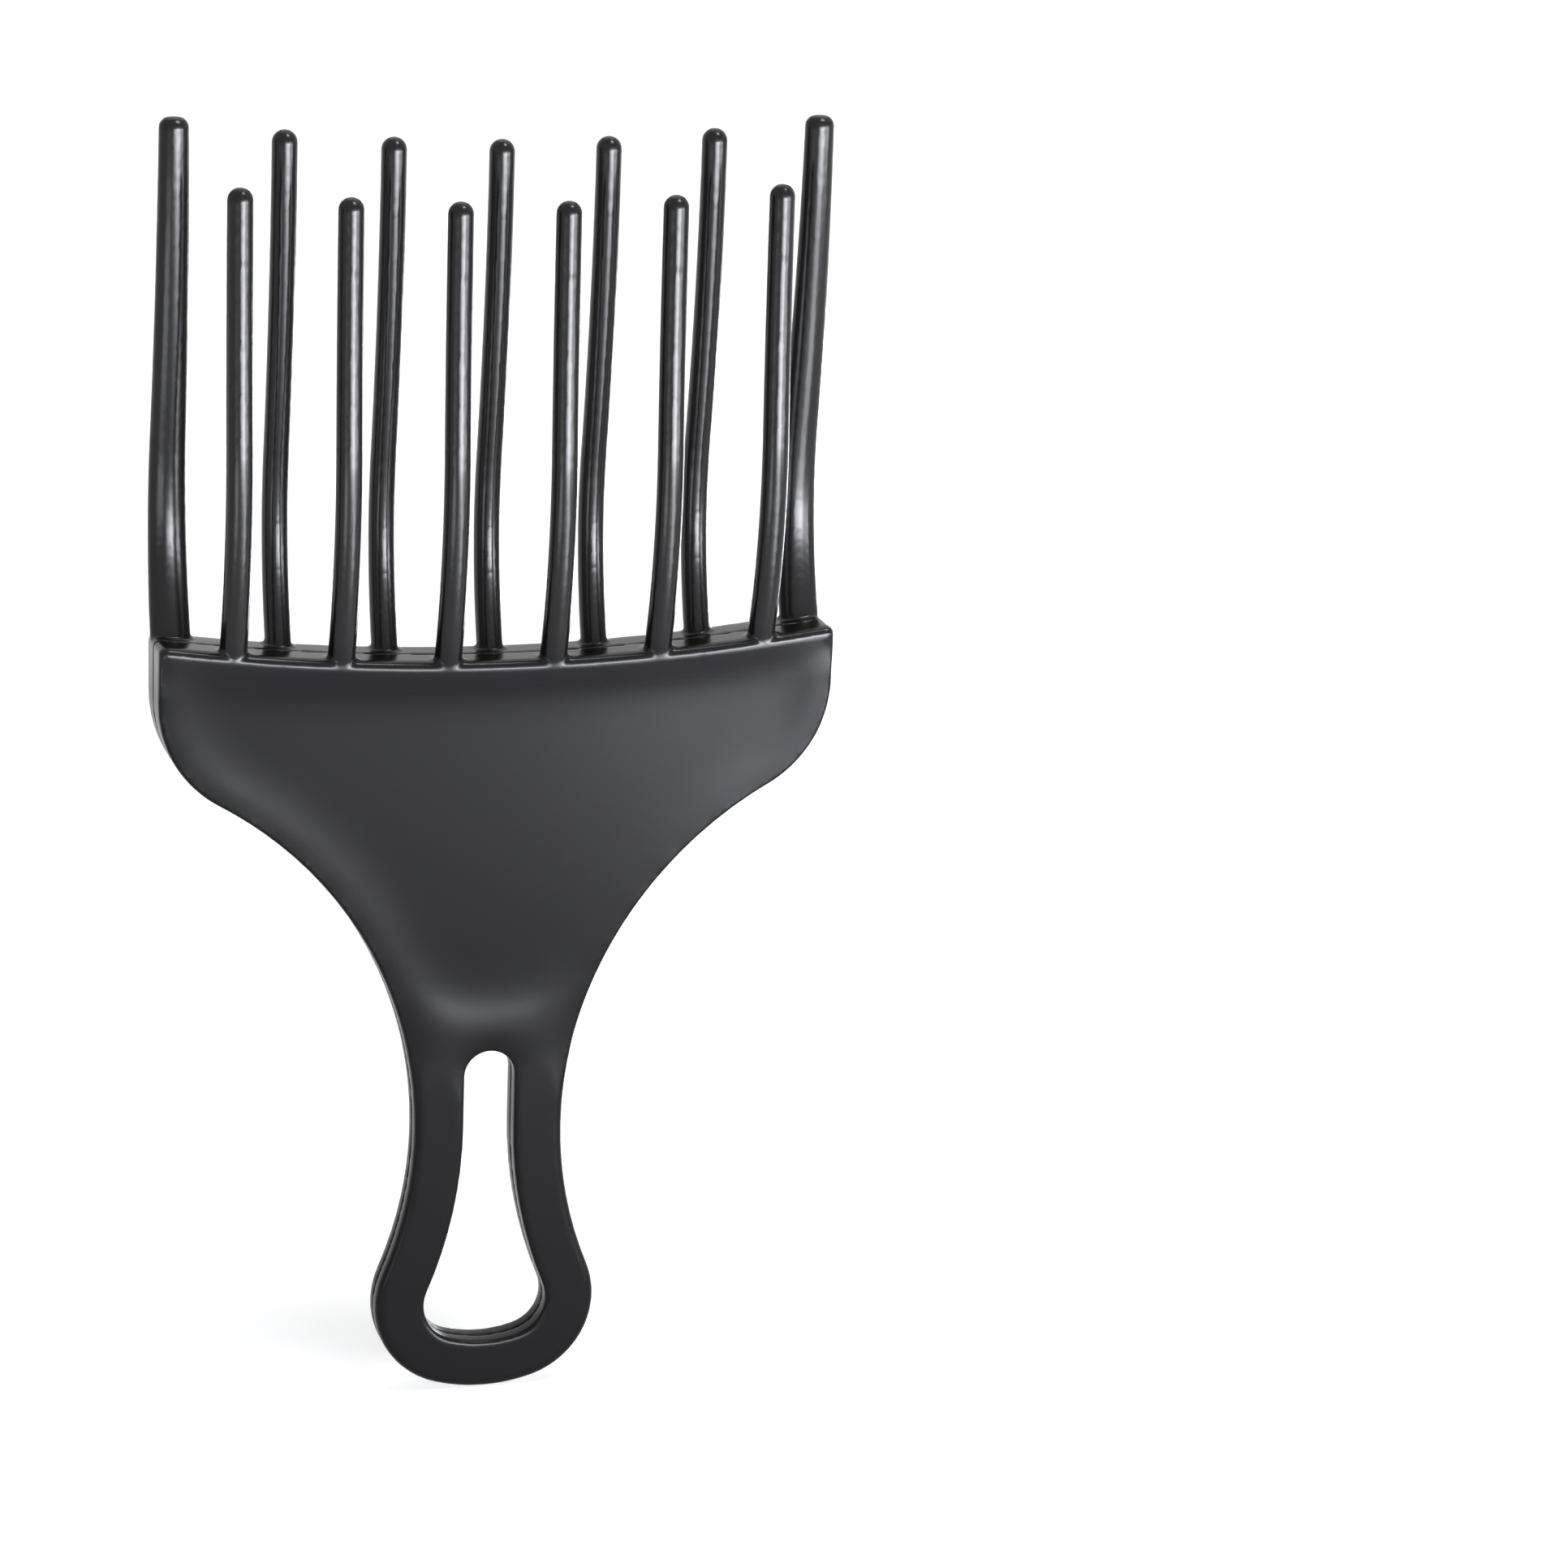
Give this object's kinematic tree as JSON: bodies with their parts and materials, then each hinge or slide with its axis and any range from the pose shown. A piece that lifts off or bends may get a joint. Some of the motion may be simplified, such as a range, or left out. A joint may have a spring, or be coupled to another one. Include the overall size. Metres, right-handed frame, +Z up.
{
  "type": "afro pick",
  "caption": "Black moulded-plastic afro pick with a flared, dished head, two staggered rows of long bent round teeth and a slotted finger-loop handle.",
  "frame": {"origin": "the middle of the finger loop, on the seam between the front and rear mouldings", "axes": "+Z up from the handle to the teeth, +Y from the front face to the back, +X to the right seen from the front"},
  "size_m": [0.092, 0.017, 0.1761],
  "materials": {
    "black_moulding": "satin moulded face with polished edges and teeth",
    "black_pin": "moulded, matt pin end"
  },
  "bodies": {
    "root": {"front_half": "black_moulding", "rear_half": "black_moulding", "left_joining_pin": "black_pin", "right_joining_pin": "black_pin"}
  },
  "joints": []
}
